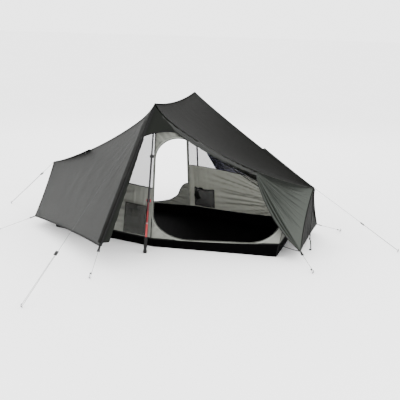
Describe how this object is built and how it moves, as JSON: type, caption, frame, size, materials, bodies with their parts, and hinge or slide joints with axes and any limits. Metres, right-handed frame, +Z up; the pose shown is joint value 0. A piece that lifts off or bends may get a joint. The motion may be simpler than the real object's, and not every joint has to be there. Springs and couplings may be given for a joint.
{
  "type": "ridge tent",
  "caption": "Two-door ridge tent pitched on trekking poles: a flysheet over a mesh-and-cloth inner tent with a bathtub floor, end struts, guylines and pegs.",
  "frame": {"origin": "on the underside of the groundsheet, at its centre, with the ground at Z = 0", "axes": "+X along the tent's length, -Y out of the front door, +Z up"},
  "size_m": [3.8146, 3.8944, 1.341],
  "materials": {
    "fly_dark": "coated ripstop nylon, semi-matte",
    "fly_grey": "coated ripstop nylon, semi-matte",
    "fly_green": "coated ripstop nylon, semi-matte",
    "black_trim": "woven webbing and zip tape",
    "black_plastic": "moulded acetal",
    "strut": "carbon rod in a sleeve",
    "floor_black": "coated nylon floor cloth",
    "inner_cloth": "thin breathable nylon",
    "mesh": "insect mesh",
    "guy_cord": "braided reflective cord",
    "peg_metal": "anodised",
    "grip": "foam grip",
    "pole_red": "anodised tube",
    "pole_black": "anodised tube",
    "lock_red": "moulded lever"
  },
  "bodies": {
    "tent": {"fly_roof_left": "fly_dark", "fly_roof_right": "fly_dark", "fly_door_front_closed": "fly_grey", "fly_door_rear_closed": "fly_grey", "fly_door_front_open": "fly_green", "fly_door_rear_open": "fly_green", "fly_end_left": "fly_dark", "fly_end_right": "fly_dark", "fly_zip_tapes": "black_trim", "vent_hoods": "fly_dark", "pole_cups": "black_plastic", "door_toggles": "black_plastic", "end_struts": "strut", "hem_webbing": "black_trim", "hem_adjusters": "black_plastic", "inner_floor": "floor_black", "inner_wall_front": "inner_cloth", "inner_wall_rear": "inner_cloth", "inner_mesh": "mesh", "inner_canopy": "inner_cloth", "inner_door_front": "inner_cloth", "inner_door_rear": "inner_cloth", "inner_pockets": "black_trim", "inner_zips": "black_trim", "inner_corner_straps": "black_trim", "pole_front_lower": "pole_black", "pole_rear_lower": "pole_black", "guy_peak_front": "guy_cord", "guy_peak_rear": "guy_cord", "guy_end_left": "guy_cord", "guy_end_right": "guy_cord", "guy_corner_front_left": "guy_cord", "guy_corner_front_right": "guy_cord", "guy_corner_rear_left": "guy_cord", "guy_corner_rear_right": "guy_cord", "guy_door_front": "guy_cord", "guy_door_rear": "guy_cord", "pegs": "peg_metal"},
    "zip_slider_front": {"fly_zip_slider_front": "black_plastic"},
    "pole_front_middle": {"pole_front_middle": "pole_black", "pole_front_lock_lower": "black_plastic"},
    "pole_front_upper": {"pole_front_upper": "pole_red", "pole_front_lock_upper": "black_plastic", "pole_front_grip": "grip"},
    "pole_front_lever_lower": {"pole_front_lever_lower": "black_plastic"},
    "pole_front_lever_upper": {"pole_front_lever_upper": "lock_red"},
    "zip_slider_rear": {"fly_zip_slider_rear": "black_plastic"},
    "pole_rear_middle": {"pole_rear_middle": "pole_black", "pole_rear_lock_lower": "black_plastic"},
    "pole_rear_upper": {"pole_rear_upper": "pole_red", "pole_rear_lock_upper": "black_plastic", "pole_rear_grip": "grip"},
    "pole_rear_lever_lower": {"pole_rear_lever_lower": "black_plastic"},
    "pole_rear_lever_upper": {"pole_rear_lever_upper": "lock_red"},
    "runner_peak_front": {"runner_peak_front": "black_plastic"},
    "runner_peak_rear": {"runner_peak_rear": "black_plastic"},
    "runner_end_left": {"runner_end_left": "black_plastic"},
    "runner_end_right": {"runner_end_right": "black_plastic"},
    "vent_prop_left": {"vent_prop_left": "black_plastic"},
    "vent_prop_right": {"vent_prop_right": "black_plastic"}
  },
  "joints": [
    {"name": "zip_slider_front_run", "type": "slide", "parent": "tent", "child": "zip_slider_front", "axis": [-0.1436, -0.5349, -0.8327], "range_m": [0, 0.886]},
    {"name": "pole_front_middle_slide", "type": "slide", "parent": "tent", "child": "pole_front_middle", "axis": [0, 0.1756, 0.9845], "range_m": [0, 0.22]},
    {"name": "pole_front_upper_slide", "type": "slide", "parent": "pole_front_middle", "child": "pole_front_upper", "axis": [0, 0.1756, 0.9845], "range_m": [0, 0.22]},
    {"name": "pole_front_lever_lower_hinge", "type": "hinge", "parent": "pole_front_middle", "child": "pole_front_lever_lower", "pos_m": [0.0154, -0.53603, 0.79584], "axis": [0, -0.1756, -0.9845], "range_deg": [0, 110]},
    {"name": "pole_front_lever_upper_hinge", "type": "hinge", "parent": "pole_front_upper", "child": "pole_front_lever_upper", "pos_m": [0.0167, -0.59925, 0.44144], "axis": [0, -0.1756, -0.9845], "range_deg": [0, 110]},
    {"name": "zip_slider_rear_run", "type": "slide", "parent": "tent", "child": "zip_slider_rear", "axis": [0.1436, 0.5349, -0.8327], "range_m": [0, 0.886]},
    {"name": "pole_rear_middle_slide", "type": "slide", "parent": "tent", "child": "pole_rear_middle", "axis": [0, -0.1756, 0.9845], "range_m": [0, 0.22]},
    {"name": "pole_rear_upper_slide", "type": "slide", "parent": "pole_rear_middle", "child": "pole_rear_upper", "axis": [0, -0.1756, 0.9845], "range_m": [0, 0.22]},
    {"name": "pole_rear_lever_lower_hinge", "type": "hinge", "parent": "pole_rear_middle", "child": "pole_rear_lever_lower", "pos_m": [-0.0154, 0.53603, 0.79584], "axis": [0, 0.1756, -0.9845], "range_deg": [0, 110]},
    {"name": "pole_rear_lever_upper_hinge", "type": "hinge", "parent": "pole_rear_upper", "child": "pole_rear_lever_upper", "pos_m": [-0.0167, 0.59925, 0.44144], "axis": [0, 0.1756, -0.9845], "range_deg": [0, 110]},
    {"name": "runner_peak_front_slide", "type": "slide", "parent": "tent", "child": "runner_peak_front", "axis": [-0.1683, -0.7668, -0.6195], "range_m": [-0.3, 0.3]},
    {"name": "runner_peak_rear_slide", "type": "slide", "parent": "tent", "child": "runner_peak_rear", "axis": [0.1683, 0.7668, -0.6195], "range_m": [-0.3, 0.3]},
    {"name": "runner_end_left_slide", "type": "slide", "parent": "tent", "child": "runner_end_left", "axis": [-0.7575, 0.1547, -0.6343], "range_m": [-0.1, 0.35]},
    {"name": "runner_end_right_slide", "type": "slide", "parent": "tent", "child": "runner_end_right", "axis": [0.8013, 0.1798, -0.5706], "range_m": [-0.3, 0.24]},
    {"name": "vent_prop_left_hinge", "type": "hinge", "parent": "tent", "child": "vent_prop_left", "pos_m": [-0.78471, -0.20916, 0.66873], "axis": [1, 0, 0], "range_deg": [0, 110]},
    {"name": "vent_prop_right_hinge", "type": "hinge", "parent": "tent", "child": "vent_prop_right", "pos_m": [0.78471, 0.20916, 0.72157], "axis": [-1, 0, 0], "range_deg": [0, 110]}
  ]
}
